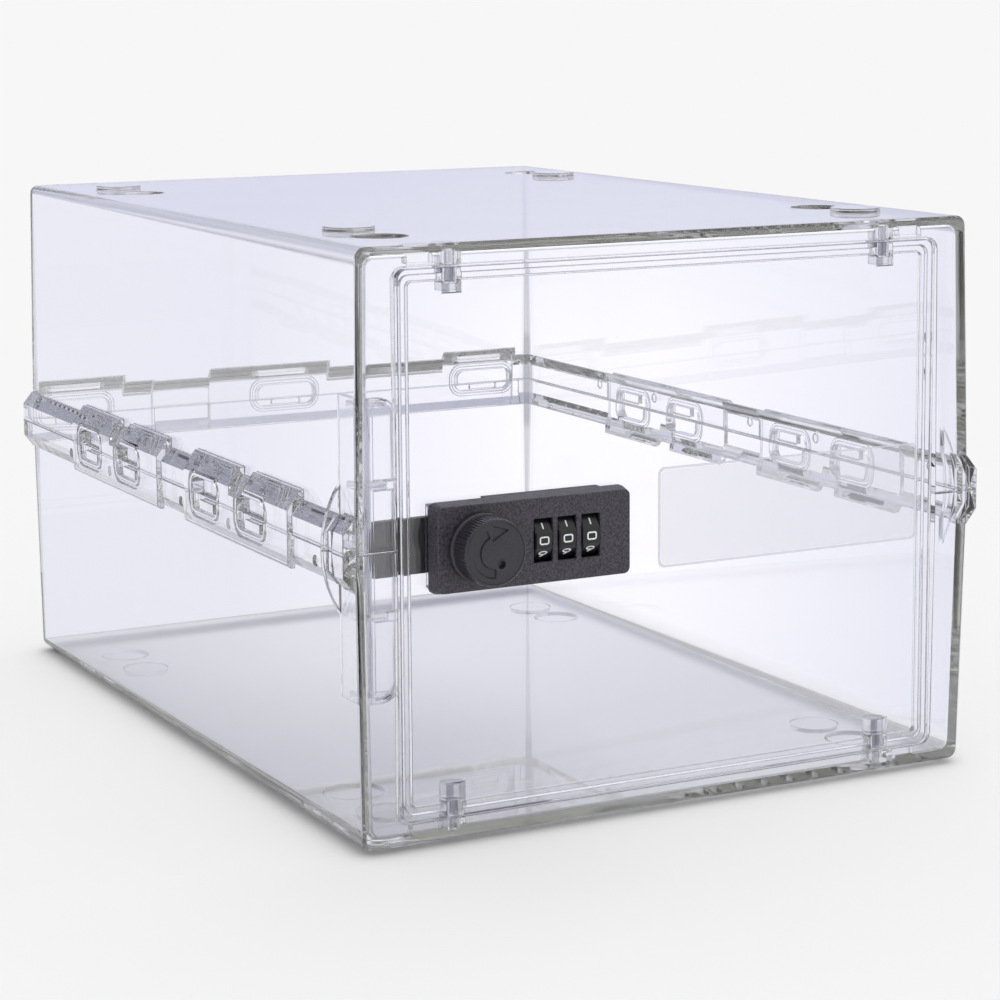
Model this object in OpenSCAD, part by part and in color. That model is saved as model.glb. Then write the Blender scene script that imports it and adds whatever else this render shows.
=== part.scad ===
// Clear lockable storage box: two drafted half shells, a hinged front door and a three dial combination lock.
// The origin is the middle of the footprint at the height the box stands on. +Z is up and the door faces -Y.
// Most pieces are drawn in a local frame: x across, y back from the front face, z up from the joint line.

/* [Box] */
// Width of the two shells at their joint line
body_w = 201; // [195:1:260]
// Depth from the front face to the back wall at the joint line
body_d = 279.4; // [262:0.2:360]
// Height of the two shells together, without the stacking discs
body_h = 165; // [130:1:220]
// Thickness of the shell walls
wall = 2.6; // [2.2:0.1:3.2]
// Lean of each side and back wall from the joint line to the top
draft = 1.4; // [0.6:0.1:2]
// Lean of the front face from the joint line to the top
front_draft = 1.0; // [0.4:0.1:1.2]
// Radius of the upright back corners
corner_r = 5; // [4:0.5:8]
// Radius of the top and bottom edges
edge_r = 3; // [2.8:0.1:4]
// Chamfer round the front face
front_chamfer = 0.8; // [0.4:0.1:1.2]

/* [Stacking discs] */
// Diameter of the raised discs
disc_d = 15; // [10:0.5:18]
// Height of the raised discs
disc_h = 1.4; // [1:0.1:1.5]
// Gap round a raised disc in the ring of the box above or below
disc_clear = 0.5; // [0.3:0.1:0.8]
// Distance from the side wall to the middle of the discs
disc_inset = 21.5; // [18:0.5:34]
// Distance from the front face to the first row of discs
disc_front = 29.5; // [24:0.5:40]
// Distance from the top of the back wall to the last row of discs
disc_back = 37.7; // [24:0.5:45]
// Distance between the two rows of a pair
disc_pitch = 20.5; // [20:0.5:26]

/* [Belt] */
// How far the clip blocks stand out from the wall
belt_out = 5; // [4.6:0.1:6]
// How far the plain belt stands out from the wall
bead_out = 3.4; // [3:0.1:3.8]
// Height of the plain belt above the joint line
bead_h = 9.5; // [8:0.5:11]
// Height of a clip block above the joint line
block_h = 12.5; // [12:0.5:15]
// Length of one clip block on the side wall
block_l = 79.5; // [74:0.5:90]
// Length of the clip arms past the joint line
arm_l = 9.5; // [8:0.5:11]
// Thickness of the clip arms
arm_t = 2.4; // [2:0.1:2.6]
// Gap between a clip arm and the shell that it hooks
arm_clear = 0.3; // [0.2:0.05:0.5]
// Length of the clip windows
window_l = 20; // [14:0.5:22]
// Height of the clip windows
window_h = 10; // [8:0.5:10.5]

/* [Door] */
// Width of the shells' front flange at each side of the door
side_flange = 12; // [11.5:0.5:24]
// Width of the shells' front flange above and below the door
end_flange = 6; // [5.5:0.1:12]
// Corner radius of the door opening
opening_r = 3.5; // [2:0.5:5]
// Gap between the door and each side of its opening
door_side_gap = 1.0; // [0.9:0.1:1.4]
// Gap between the door and the top and bottom of its opening
door_end_gap = 0.4; // [0.3:0.1:0.8]
// Distance from the front face back to the door's face
door_set_back = 0.5; // [0.3:0.1:1]
// Thickness of the door
door_t = 2.6; // [2.2:0.1:3.2]
// Distance from the door's edge to the rim behind it
rim_inset = 1.8; // [1.4:0.1:2.4]
// Thickness of the rim
rim_t = 1.8; // [1.4:0.1:2.2]
// Depth of the rim behind the door
rim_d = 2.1; // [1.6:0.1:2.2]

/* [Hinge] */
// Diameter of the hinge pins
pin_d = 4; // [3:0.5:5]
// Gap all round a hinge pin in its bore
pin_clear = 0.06; // [0.03:0.01:0.1]
// Distance from the opening's side to the hinge axis
pin_inset = 17.9; // [16:0.1:22]
// Distance from the front face back to the hinge axis
pin_y = 5.6; // [5.2:0.1:6.2]
// Width of the ledge of a pin's head round its shank
head_ledge = 1.5; // [1:0.1:2]
// Height of the upper pins' heads
upper_head_h = 2.2; // [1.6:0.1:3]
// Height of the lower pins' heads
lower_head_h = 4.4; // [3:0.1:6]

/* [Lock body] */
// Width of the lock's faceplate
plate_w = 61; // [60:0.5:64]
// Height of the lock's faceplate
plate_h = 25.2; // [25:0.2:28]
// Thickness of the faceplate in front of its gasket
plate_t = 5; // [4.8:0.1:5.4]
// Distance from the side of the opening to the middle of the faceplate
plate_inset = 39.5; // [38:0.5:80]
// Thickness of the gasket under the faceplate
gasket_t = 0.5; // [0.3:0.1:0.5]
// Depth of the lock's housing behind the front face
housing_d = 11.5; // [11.5:0.5:14]
// Wall of the lock's housing
housing_t = 1.2; // [1:0.1:1.4]
// Thickness of the cover on the back of the housing
cover_t = 1.5; // [1.2:0.1:2]

/* [Knob and cam] */
// Diameter of the knob
knob_d = 18.8; // [16:0.2:19.4]
// Distance that the knob stands out from the front face
knob_reach = 14.5; // [12:0.5:18]
// Distance from the middle of the faceplate to the knob's axis
knob_offset = 17; // [16.5:0.1:18]
// Diameter of the spindle
spindle_d = 6; // [5:0.5:6]
// Diameter of the threaded barrel round the spindle
barrel_d = 10; // [9.5:0.5:10.5]
// Gap round the spindle in the barrel
spindle_clear = 0.06; // [0.03:0.01:0.1]
// Width of the cam bar
cam_w = 15.4; // [12:0.2:16]
// Thickness of the cam bar
cam_t = 2.4; // [2:0.1:2.6]
// Length of the cam from the knob's axis to its tip
cam_l = 28.6; // [26:0.1:28.6]

/* [Dials] */
// Diameter of the numbered dials
dial_d = 14; // [13.4:0.1:14.2]
// Width of a dial
dial_w = 5.4; // [5:0.1:5.6]
// Gap between a code disc and the next dial
dial_gap = 0.35; // [0.3:0.05:0.5]
// Distance from the middle of the faceplate to the first dial
dial_offset = 2.4; // [2:0.1:3]
// Diameter of the dials' axle
axle_d = 3; // [2.6:0.1:3.2]
// Gap round the axle in a dial
axle_clear = 0.08; // [0.04:0.01:0.1]
// Diameter of the code discs
code_d = 8.4; // [8:0.1:8.6]
// Width of a code disc
code_w = 1.7; // [1.5:0.1:1.8]

/* [Strike] */
// Height of the strike bracket
strike_h = 84; // [70:1:100]
// Width of the strike's front leg
strike_front = 10.2; // [9:0.1:10.6]
// Depth of the strike's side leg
strike_side = 12.5; // [10:0.5:16]
// Thickness of the strike's legs
strike_t = 2; // [1.6:0.1:2.2]

/* [Hidden] */

$fn = 48;
round_fn = 32;
eps = 0.01;

half_h = body_h / 2;
mid_z = disc_h + half_h;
front_y = (knob_reach - body_d - belt_out) / 2;

// The discs swap places from left to right, so a box turned over or stacked meets its mate
disc_last = body_d - draft - disc_back;
disc_rows = [disc_front, disc_front + disc_pitch, disc_last - disc_pitch, disc_last];
disc_x = body_w / 2 - disc_inset;
recess_h = disc_h + 0.1;
recess_d = disc_d + 2 * disc_clear;

belt_root = 1.6;
dome_y = 8;
arm_in = belt_out - arm_t;
catch_out = arm_in - arm_clear;
block_low = 2.5;
block_end_gap = 0.6;
ridges = [[0, 33.5], [43, 79.5]];
back_ridge_half = 17;
groove_w = 1;
groove_d = 0.6;
dimple_r = 1.5;
dimple_d = 0.8;
dimple_z = 4.5;
block_from_front = 35.5;
block_from_back = 61.9;
block_y = [block_from_front, body_d - block_from_back - block_l];
bead_spans = [
  [dome_y, block_y[0] - block_end_gap],
  [block_y[0] + block_l + block_end_gap, block_y[1] - block_end_gap],
  [block_y[1] + block_l + block_end_gap, body_d - corner_r],
];
window_y = [27.3, 63];
dimple_y = [
  block_y[0] - 15.5, block_y[0] + 46, block_y[0] + block_l + 6.5,
  block_y[1] + 46, block_y[1] + block_l + 6.5,
];
window_z = 1;
back_x = body_w / 2 - corner_r;
back_block_l = 43;
back_gap = 22;
back_blocks = [
  [0.5 - back_x, 0.5 - back_x + back_block_l],
  [0.5 - back_x + back_block_l + back_gap, back_x - 2.5],
];
back_windows = [15.5 - back_x, 0, back_x - 15.5];
back_ridges = [
  [back_blocks[0][0], back_windows[0] + back_ridge_half],
  [back_blocks[1][0], back_ridge_half],
  [back_windows[2] - back_ridge_half, back_blocks[1][1]],
];
back_window_l = 23;
back_window_h = 8;
nub_z = 0.8;
nub_l = 11;
nub_h = window_h / 2 - window_z - nub_z - 0.2;
back_nub_h = back_window_h / 2 - window_z - nub_z - 0.2;
fin_t = 2;
fin_y = 11;
fin_half_h = 17.5;
fin_r = (fin_half_h * fin_half_h + belt_out * belt_out) / (2 * belt_out);

opening_x = body_w / 2 - side_flange;
opening_z = half_h - end_flange;
door_back = door_set_back + door_t;
door_x = opening_x - door_side_gap;
door_z = opening_z - door_end_gap;
rim_back = door_back + rim_d;
rim_in = rim_inset + rim_t;
pin_x = opening_x - pin_inset;
pin_r = pin_d / 2;
boss_r = pin_r + 1.6;
knuckle_end = door_z - rim_in - 0.8;
pin_end = half_h - wall + 0.6;
pocket_r = pin_r + head_ledge + 0.3;
lug_x = pin_x + 9.2;
lug_w = 7.5;
lug_d = 5;

lock_x = plate_inset - opening_x;
knob_x = lock_x - knob_offset;
plate_wall = 1.5;
plate_side = 2;
dial_y = 1;
dial_r = dial_d / 2;
dial_pitch = dial_w + code_w + dial_gap;
dial_x = [for (i = [0:2]) lock_x + dial_offset + i * dial_pitch];
dial_window = [dial_w + 0.4, 12.2];
gate_w = 2.2;
gate_depth = 1.6;
screw_r = 1;
screw_start = -3;
washer_t = 0.5;
nut_flats = 14;
nut_corner_r = nut_flats / 2 / cos(30);
nut_t = 1.9;
housing_left = knob_x + nut_corner_r + 0.7;
housing_right = dial_x[2] + dial_w / 2 + code_w + 6.5;
housing_z = plate_h / 2 - plate_side;
housing_gap = 0.3;
collar_t = 0.8;
collar_left = knob_x - 12.2;
collar_right = housing_right + housing_gap + collar_t;
collar_h = 2 * (housing_z + housing_gap + collar_t);
post_r = 2;
post_inset = 2.8;
post_places = [
  [housing_left + post_inset, post_inset - housing_z],
  [housing_right - post_inset, post_inset - housing_z],
  [housing_right - post_inset, housing_z - post_inset],
];
barrel_front = -0.6;
barrel_back = door_back + washer_t + nut_t + 0.1;
cam_y = barrel_back + 0.3;
square_w = 4.2;
cam_back = cam_y + cam_t;
lobe_r = 4.6;
lobe_shift = 1.5;
lobe_y = [-3, -1];
fence_z = dial_r + 1.6;
fence_h = 1.8;
fence_y = [-2.8, -1.2];
yoke_x = knob_x + lobe_r + lobe_shift + 0.5;
yoke_w = 1.6;
yoke_z = -lobe_r - 0.5;
yoke_h = 1.4;
fence_arm_z = code_d / 2 + 1.7;
fence_tip_z = code_d / 2 + 0.3;
strike_y = door_back + 0.2;
strike_x = body_w / 2 - wall - draft * (strike_h / 2) / (half_h - edge_r) - 0.2;
strike_rib_z = 18;
strike_rib_t = 2.6;
strike_corner = 6;
strike_border = 1.6;
strike_web = 1;
strike_bevel = front_chamfer + 0.4;

module in_box() translate([0, front_y, mid_z]) children();

// A bar of the given cross-section (out from the wall, up) along one wall
module along_left(y0, y1) {
  translate([-body_w / 2, y1, 0]) rotate([90, 0, 0])
    linear_extrude(y1 - y0) mirror([1, 0]) children();
}
module along_right(y0, y1) {
  translate([body_w / 2, y1, 0]) rotate([90, 0, 0]) linear_extrude(y1 - y0) children();
}
module along_back(x0, x1) {
  translate([x0, body_d, 0]) rotate([90, 0, 90]) linear_extrude(x1 - x0) children();
}

// The solid outline of a half shell, drawn in by inset for the hollow
module half_outline(inset) {
  upright_r = max(corner_r - inset, 0.4);
  top_r = max(edge_r - inset, 0.4);
  top_x = body_w / 2 - draft - inset;
  side_x = body_w / 2 - inset;
  low = inset > 0 ? -1 : 0;
  hull() {
    for (s = [-1, 1]) {
      translate([s * (side_x - upright_r), body_d - inset - upright_r, low])
        cylinder(r = upright_r, h = eps, $fn = round_fn);
      translate([s * (side_x - front_chamfer), inset + front_chamfer, low])
        cylinder(r = front_chamfer, h = eps, $fn = round_fn);
      translate([s * (top_x - top_r), body_d - draft - inset - top_r, half_h - inset - top_r])
        sphere(r = top_r, $fn = round_fn);
      translate([s * (top_x - edge_r), front_draft + inset, half_h - inset - edge_r])
        rotate([-90, 0, 0])
          cylinder(r1 = edge_r - front_chamfer, r2 = edge_r, h = front_chamfer, $fn = round_fn);
    }
  }
}

module rounded_rect(w, h, r) offset(r = r, $fn = round_fn) square([w - 2 * r, h - 2 * r], center = true);

// A flat shape in the plane of the front, from depth y0 to y1
module facing(y0, y1) translate([0, y1, 0]) rotate([90, 0, 0]) linear_extrude(y1 - y0) children();

module bead_section() {
  polygon([[-belt_root, 0], [bead_out, 0], [bead_out, bead_h - 4], [0.4, bead_h], [-belt_root, bead_h]]);
}
module catch_section() {
  polygon([[-belt_root, 0], [catch_out, 0], [catch_out, bead_h - 3], [0.4, bead_h], [-belt_root, bead_h]]);
}
// A block stands on the wall above the joint line and its arm hangs over the other shell
module block_section(height) {
  polygon([
    [-belt_root, 0.2], [arm_in, 0.2], [arm_in, -arm_l], [belt_out - 1, -arm_l], [belt_out, 1 - arm_l],
    [belt_out, height - 5.5], [1.2, height], [-belt_root, height],
  ]);
}

// A window through a block, with a groove round it in the block's face
module window_cut(w, h) {
  linear_extrude(belt_out) rounded_rect(w, h, 3);
  translate([0, 0, belt_out - groove_d - 0.9]) linear_extrude(2) difference() {
    rounded_rect(w + 2.4 + 2 * groove_w, h + 2.4 + 2 * groove_w, 4.2 + groove_w);
    rounded_rect(w + 2.4, h + 2.4, 4.2);
  }
}
module window_cut_side(y) {
  translate([-body_w / 2 - 0.9, y, window_z]) rotate([0, -90, 0]) window_cut(window_h, window_l);
}
module window_cut_back(x) {
  translate([x, body_d + 0.9, window_z]) rotate([-90, 0, 0]) window_cut(back_window_l, back_window_h);
}
// A round dimple in the catch side, seen between the blocks and through them
module dimple(y, out) {
  translate([body_w / 2 + out - dimple_d, y, dimple_z]) rotate([0, 90, 0])
    cylinder(r = dimple_r, h = belt_out);
}

// Belt of one half shell: clip blocks on its left, catches on its right, and either kind on the back
module belt(back_has_arms) {
  difference() {
    union() {
      along_left(dome_y, body_d - corner_r) bead_section();
      for (y = block_y) {
        along_left(y, y + block_l) block_section(block_h - block_low);
        for (r = ridges) along_left(y + r[0], y + r[1]) block_section(block_h);
      }
    }
    for (y = block_y, w = window_y) window_cut_side(y + w);
  }
  difference() {
    union() {
      along_right(dome_y, body_d - corner_r) catch_section();
      for (span = bead_spans) along_right(span[0], span[1]) bead_section();
    }
    for (i = [0:4]) dimple(dimple_y[i], i % 2 == 0 ? bead_out : catch_out);
  }
  for (y = block_y, w = window_y)
    translate([body_w / 2, y + w - nub_l / 2, nub_z]) cube([belt_out - 0.8, nub_l, nub_h]);
  difference() {
    union() {
      along_back(-back_x, back_x) catch_section();
      if (back_has_arms) {
        along_back(-back_x, back_x) bead_section();
        for (b = back_blocks) along_back(b[0], b[1]) block_section(block_h - block_low);
        for (r = back_ridges) along_back(r[0], r[1]) block_section(block_h);
      }
    }
    if (back_has_arms) for (x = back_windows) window_cut_back(x);
  }
  if (!back_has_arms) {
    for (x = back_windows)
      translate([-x - nub_l / 2, body_d, nub_z]) cube([nub_l, belt_out - 0.8, back_nub_h]);
    along_back(block_end_gap - back_blocks[1][0], -back_blocks[0][1] - block_end_gap) bead_section();
  }
  for (s = [-1, 1]) belt_corner(s);
}

// The belt carries on round the upright back corner
module belt_corner(s) {
  translate([s * (body_w / 2 - corner_r), body_d - corner_r, 0])
    rotate([0, 0, s > 0 ? 0 : 90]) rotate_extrude(angle = 90, $fn = 64)
      translate([corner_r, 0]) bead_section();
}

// Rounded end of the belt at a front corner, with its crescent fin
module front_corner(s) {
  mirror([s > 0 ? 1 : 0, 0, 0]) {
    along_left(0.6, dome_y) polygon([
      [-belt_root, 0], [belt_out - 1.2, 0], [belt_out - 1.2, 6], [0.2, 10.4], [-belt_root, 10.4],
    ]);
    intersection() {
      translate([-body_w / 2 - belt_out + fin_r, fin_y, 0]) rotate([-90, 0, 0])
        cylinder(r = fin_r, h = fin_t, $fn = 96);
      translate([-body_w / 2 - belt_out - 1, 0, 0]) cube([belt_out + 1 + belt_root, 30, fin_half_h + 2]);
    }
  }
}

// Hinge boss and stop lug, hanging from the top wall behind the front face
module hinge_seat(s) {
  translate([s * pin_x, pin_y, opening_z]) cylinder(r = boss_r, h = half_h - wall + 0.3 - opening_z);
  translate([s * lug_x - lug_w / 2, wall - 0.4, opening_z + 0.6])
    cube([lug_w, lug_d, half_h - wall + 0.3 - opening_z - 0.6]);
}

module half_shell(back_has_arms) {
  difference() {
    union() {
      difference() {
        half_outline(0);
        half_outline(wall);
        facing(-1, wall + front_draft + 1) rounded_rect(2 * opening_x, 2 * opening_z, opening_r);
      }
      for (s = [-1, 1]) hinge_seat(s);
      for (s = [-1, 1], i = [0, 2])
        translate([s * disc_x, disc_rows[s < 0 ? i + 1 : i], half_h - 0.2]) cylinder(d = disc_d, h = disc_h + 0.2);
    }
    for (s = [-1, 1]) {
      for (i = [0, 2])
        translate([s * disc_x, disc_rows[s < 0 ? i : i + 1], half_h - recess_h]) cylinder(d = recess_d, h = 5);
      translate([s * pin_x, pin_y, opening_z - 1]) cylinder(r = pin_r + pin_clear, h = pin_end + 0.2 - opening_z + 1);
    }
  }
  belt(back_has_arms);
  for (s = [-1, 1]) front_corner(s);
}

module upper_shell() color([0.92, 0.93, 0.96, 0.35]) in_box() half_shell(true);

module lower_shell() color([0.92, 0.93, 0.96, 0.35]) in_box() rotate([0, 180, 0]) half_shell(false);

// The bracket's front leg, with its two free corners rounded, drawn in by inset
module strike_face(inset) {
  r = strike_corner - inset;
  x0 = strike_bevel + inset;
  x1 = strike_front - inset;
  z1 = strike_h / 2 - inset;
  translate([x0, -z1]) square([x1 - r - x0, 2 * z1]);
  translate([x0, r - z1]) square([x1 - x0, 2 * (z1 - r)]);
  for (z = [-1, 1]) translate([x1 - r, z * (z1 - r)]) intersection() {
    circle(r);
    translate([0, -r]) square(2 * r);
  }
}

// L section bracket inside the front left corner, behind the face that the cam locks against
module strike_bracket() {
  color([0.9, 0.91, 0.94, 0.5]) in_box() translate([-strike_x, 0, 0]) {
    difference() {
      facing(strike_y, strike_y + strike_t) strike_face(0);
      facing(strike_y - 1, strike_y + strike_t - strike_web) difference() {
        strike_face(strike_border);
        for (z = [-strike_rib_z, strike_rib_z])
          translate([0, z - strike_rib_t / 2]) square([strike_front, strike_rib_t]);
      }
    }
    translate([0, 0, -strike_h / 2]) linear_extrude(strike_h) polygon([
      [0, strike_y + strike_bevel], [strike_bevel, strike_y], [strike_t, strike_y],
      [strike_t, strike_y + strike_side], [0, strike_y + strike_side],
    ]);
    for (z = [-strike_rib_z, strike_rib_z, 2 - strike_h / 2, strike_h / 2 - 2])
      translate([strike_t - eps, strike_y + strike_t - eps, z - 0.8])
        linear_extrude(1.6) polygon([[0, 0], [5, 0], [0, 6]]);
  }
}

// A headed pin, shank towards +Z from the top of its head
module headed_pin(head_h, shank_l) {
  translate([0, 0, -head_h]) cylinder(r = pin_r + head_ledge, h = head_h);
  cylinder(r = pin_r, h = shank_l);
}

module hinge_pin_upper() {
  color([0.9, 0.91, 0.94, 0.5]) in_box() translate([pin_x, pin_y, knuckle_end - 0.2])
    headed_pin(upper_head_h, pin_end - knuckle_end + 0.2);
}

module hinge_pin_lower() {
  color([0.9, 0.91, 0.94, 0.5]) in_box() translate([pin_x, pin_y, -knuckle_end + 0.2]) mirror([0, 0, 1])
    headed_pin(lower_head_h, pin_end - knuckle_end + 0.2);
}

// The hinge can be put on either side, so the lock side's knuckles are filled with short pins
module blank_pins() {
  color([0.9, 0.91, 0.94, 0.5]) in_box() for (s = [-1, 1])
    translate([-pin_x, pin_y, s * knuckle_end]) mirror([0, 0, s < 0 ? 1 : 0])
      headed_pin(s > 0 ? upper_head_h : lower_head_h, door_z - knuckle_end);
}

module door_panel() {
  rim_x = 2 * (door_x - rim_inset);
  rim_z = 2 * (door_z - rim_inset);
  color([0.93, 0.94, 0.97, 0.3]) in_box() difference() {
    union() {
      facing(door_set_back, door_back) rounded_rect(2 * door_x, 2 * door_z, opening_r - 0.5);
      facing(door_back - 0.2, rim_back) difference() {
        rounded_rect(rim_x, rim_z, opening_r - 1);
        rounded_rect(rim_x - 2 * rim_t, rim_z - 2 * rim_t, opening_r - 2);
      }
      for (sx = [-1, 1], sz = [-1, 1]) translate([sx * pin_x, pin_y, sz > 0 ? knuckle_end : -door_z])
        cylinder(r = boss_r, h = door_z - knuckle_end);
      facing(door_back - 0.2, rim_back) translate([(collar_left + collar_right) / 2, 0]) difference() {
        square([collar_right - collar_left, collar_h], center = true);
        square([collar_right - collar_left - 2 * collar_t, collar_h - 2 * collar_t], center = true);
      }
    }
    for (sx = [-1, 1], sz = [-1, 1]) translate([sx * pin_x, pin_y, sz > 0 ? knuckle_end - 1 : -door_z - 1])
      cylinder(r = pin_r + pin_clear, h = door_z - knuckle_end + 2);
    for (sx = [-1, 1]) translate([sx * pin_x, pin_y, 0]) {
      translate([0, 0, knuckle_end - upper_head_h - 0.5]) cylinder(r = pocket_r, h = upper_head_h + 0.5);
      translate([0, 0, -knuckle_end]) cylinder(r = pocket_r, h = lower_head_h + 0.5);
    }
    translate([knob_x, -1, 0]) rotate([-90, 0, 0]) cylinder(d = barrel_d + 0.4, h = 10);
    translate([housing_left - housing_gap, -1, -housing_z - housing_gap])
      cube([housing_right - housing_left + 2 * housing_gap, 10, 2 * (housing_z + housing_gap)]);
  }
}

// A bevelled hollow cap with a window for each dial and a boss for each screw
module lock_faceplate() {
  color([0.1, 0.1, 0.11]) in_box() difference() {
    union() {
      difference() {
        translate([lock_x, 0, 0]) hull() {
          facing(-1.2, 0) rounded_rect(plate_w, plate_h, 2.2);
          facing(-plate_t, -0.8) rounded_rect(plate_w - 1.4, plate_h - 1.4, 1.8);
        }
        translate([lock_x, 0, 0]) facing(plate_wall - plate_t, 1)
          square([plate_w - 2 * plate_side, plate_h - 2 * plate_side], center = true);
        for (x = dial_x) translate([x, 0, 0]) facing(-plate_t - 1, 0) square(dial_window, center = true);
      }
      at_posts() translate([0, 0, plate_wall - plate_t - 0.2]) cylinder(r = post_r, h = plate_t - plate_wall + 0.2);
    }
    at_posts() translate([0, 0, screw_start]) cylinder(r = screw_r + 0.05, h = 5);
    translate([knob_x, -plate_t - 1, 0]) rotate([-90, 0, 0]) cylinder(r = spindle_d / 2 + 0.2, h = 5);
  }
}

module faceplate_gasket() {
  color([0.14, 0.14, 0.15]) in_box() translate([lock_x, 0, 0])
    facing(door_set_back - gasket_t, door_set_back) difference() {
      square([plate_w - 1.2, plate_h - 1.2], center = true);
      square([plate_w - 3.6, plate_h - 3.6], center = true);
    }
}

module at_posts() for (p = post_places) translate([p[0], 0, p[1]]) rotate([-90, 0, 0]) children();

module lock_housing() {
  color([0.12, 0.12, 0.13]) in_box() difference() {
    union() {
      difference() {
        translate([housing_left, 0, -housing_z])
          cube([housing_right - housing_left, housing_d, 2 * housing_z]);
        translate([housing_left + housing_t, -1, -housing_z + housing_t])
          cube([housing_right - housing_left - 2 * housing_t, housing_d + 2, 2 * (housing_z - housing_t)]);
      }
      at_posts() cylinder(r = post_r, h = housing_d);
    }
    at_posts() translate([0, 0, -1]) cylinder(r = screw_r + 0.05, h = housing_d + 2);
    translate([housing_left - 1, dial_y, 0]) rotate([0, 90, 0])
      cylinder(d = axle_d + 0.04, h = housing_right - housing_left + 2);
  }
}

module housing_cover() {
  color([0.13, 0.13, 0.14]) in_box() difference() {
    translate([housing_left, housing_d, -housing_z]) cube([housing_right - housing_left, cover_t, 2 * housing_z]);
    at_posts() translate([0, 0, housing_d - 1]) cylinder(r = screw_r + 0.1, h = cover_t + 2);
  }
}

module cover_screws() {
  color([0.6, 0.6, 0.62]) in_box() at_posts() {
    translate([0, 0, screw_start]) cylinder(r = screw_r, h = housing_d + cover_t - screw_start + 0.2);
    translate([0, 0, housing_d + cover_t]) cylinder(r = 1.9, h = 1.3);
  }
}

module lock_barrel() {
  color([0.5, 0.5, 0.52]) in_box() translate([knob_x, 0, 0]) rotate([-90, 0, 0]) difference() {
    union() {
      translate([0, 0, barrel_front]) cylinder(d = barrel_d, h = barrel_back - barrel_front);
      translate([0, 0, barrel_front]) cylinder(d = nut_flats, h = door_set_back - barrel_front);
    }
    translate([0, 0, -2]) cylinder(r = spindle_d / 2 + spindle_clear, h = 12);
  }
}

module barrel_washer() {
  color([0.62, 0.62, 0.64]) in_box() translate([knob_x, door_back, 0]) rotate([-90, 0, 0]) difference() {
    cylinder(d = nut_flats - 0.4, h = washer_t);
    translate([0, 0, -1]) cylinder(r = barrel_d / 2 + 0.1, h = 3);
  }
}

module barrel_nut() {
  color([0.62, 0.62, 0.64]) in_box() translate([knob_x, door_back + washer_t, 0]) rotate([-90, 0, 0]) difference() {
    rotate([0, 0, 30]) cylinder(r = nut_corner_r, h = nut_t, $fn = 6);
    translate([0, 0, -1]) cylinder(r = barrel_d / 2 + 0.05, h = 4);
  }
}

module dial_axle() {
  color([0.65, 0.65, 0.67]) in_box() translate([housing_left, dial_y, 0]) rotate([0, 90, 0])
    cylinder(d = axle_d, h = housing_right - housing_left);
}

// A leaf behind the dials, with one bump for each of them
module detent_spring() {
  leaf_y = dial_y + dial_r + 0.65;
  color([0.7, 0.7, 0.66]) in_box() {
    translate([housing_left + housing_t, leaf_y, -3])
      cube([housing_right - housing_left - 2 * housing_t, 0.4, 6]);
    for (x = dial_x) translate([x - dial_w / 2 + 0.8, leaf_y, 0]) rotate([0, 90, 0])
      cylinder(r = 0.35, h = dial_w - 1.6);
  }
}

// The knob's lobe pushes this yoke down, and its three tips drop into the gates of the code discs
module locking_fence() {
  bar_end = dial_x[2] + dial_w / 2 + code_w;
  fence_t = fence_y[1] - fence_y[0];
  color([0.55, 0.55, 0.57]) in_box() {
    translate([yoke_x, fence_y[0], fence_z]) cube([bar_end - yoke_x, fence_t, fence_h]);
    translate([yoke_x, fence_y[0], yoke_z - yoke_h]) cube([yoke_w, fence_t, fence_z + fence_h + yoke_h - yoke_z]);
    translate([knob_x - 2, fence_y[0], yoke_z - yoke_h]) cube([yoke_x + yoke_w - knob_x + 2, fence_t, yoke_h]);
    for (x = dial_x) translate([x + dial_w / 2 + 0.3, 0, 0]) {
      translate([0, fence_y[0], fence_arm_z]) cube([1.1, dial_y + 0.8 - fence_y[0], fence_z - fence_arm_z + 0.4]);
      translate([0, dial_y - 0.8, fence_tip_z]) cube([1.1, 1.6, fence_arm_z - fence_tip_z + 0.2]);
    }
  }
}

module knob() {
  knob_r = knob_d / 2;
  color([0.1, 0.1, 0.11]) in_box() translate([knob_x, 0, 0]) rotate([90, 0, 0]) difference() {
    rotate_extrude($fn = 96) polygon([
      [0, plate_t + 0.3], [knob_r + 0.3, plate_t + 0.3], [knob_r + 0.3, plate_t + 1.4], [knob_r - 0.2, plate_t + 2],
      [knob_r, plate_t + 2.6], [knob_r, knob_reach - 0.9], [knob_r - 0.9, knob_reach], [0, knob_reach],
    ]);
    translate([0, 0, plate_t]) cylinder(d = spindle_d, h = 6.5);
  }
}

module spindle() {
  square_end = cam_back - cam_y;
  color([0.6, 0.6, 0.62]) in_box() translate([knob_x, 0, 0]) rotate([-90, 0, 0]) difference() {
    union() {
      translate([0, 0, -plate_t - 6.5]) cylinder(d = spindle_d, h = cam_y + plate_t + 6.5);
      translate([lobe_shift, 0, lobe_y[0]]) cylinder(r = lobe_r, h = lobe_y[1] - lobe_y[0]);
      translate([-square_w / 2, -square_w / 2, cam_y - 1]) cube([square_w, square_w, square_end + 1]);
    }
    translate([0, 0, cam_back - 6]) cylinder(r = 1.25, h = 8);
  }
}

// Flat bar with a round tip, square on the spindle, pointing at the strike when locked
module cam() {
  color([0.2, 0.2, 0.21]) in_box() translate([knob_x, 0, 0]) facing(cam_y, cam_back) difference() {
    union() {
      circle(d = cam_w, $fn = 64);
      intersection() {
        translate([-cam_l - 2, -cam_w / 2]) square([cam_l + 2, cam_w]);
        circle(r = cam_l, $fn = 128);
      }
    }
    square(square_w + 0.1, center = true);
  }
}

module cam_washer() {
  color([0.65, 0.65, 0.67]) in_box() translate([knob_x, cam_back, 0]) rotate([-90, 0, 0]) difference() {
    cylinder(r = 4.2, h = washer_t);
    translate([0, 0, -1]) cylinder(r = 1.35, h = 3);
  }
}

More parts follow.
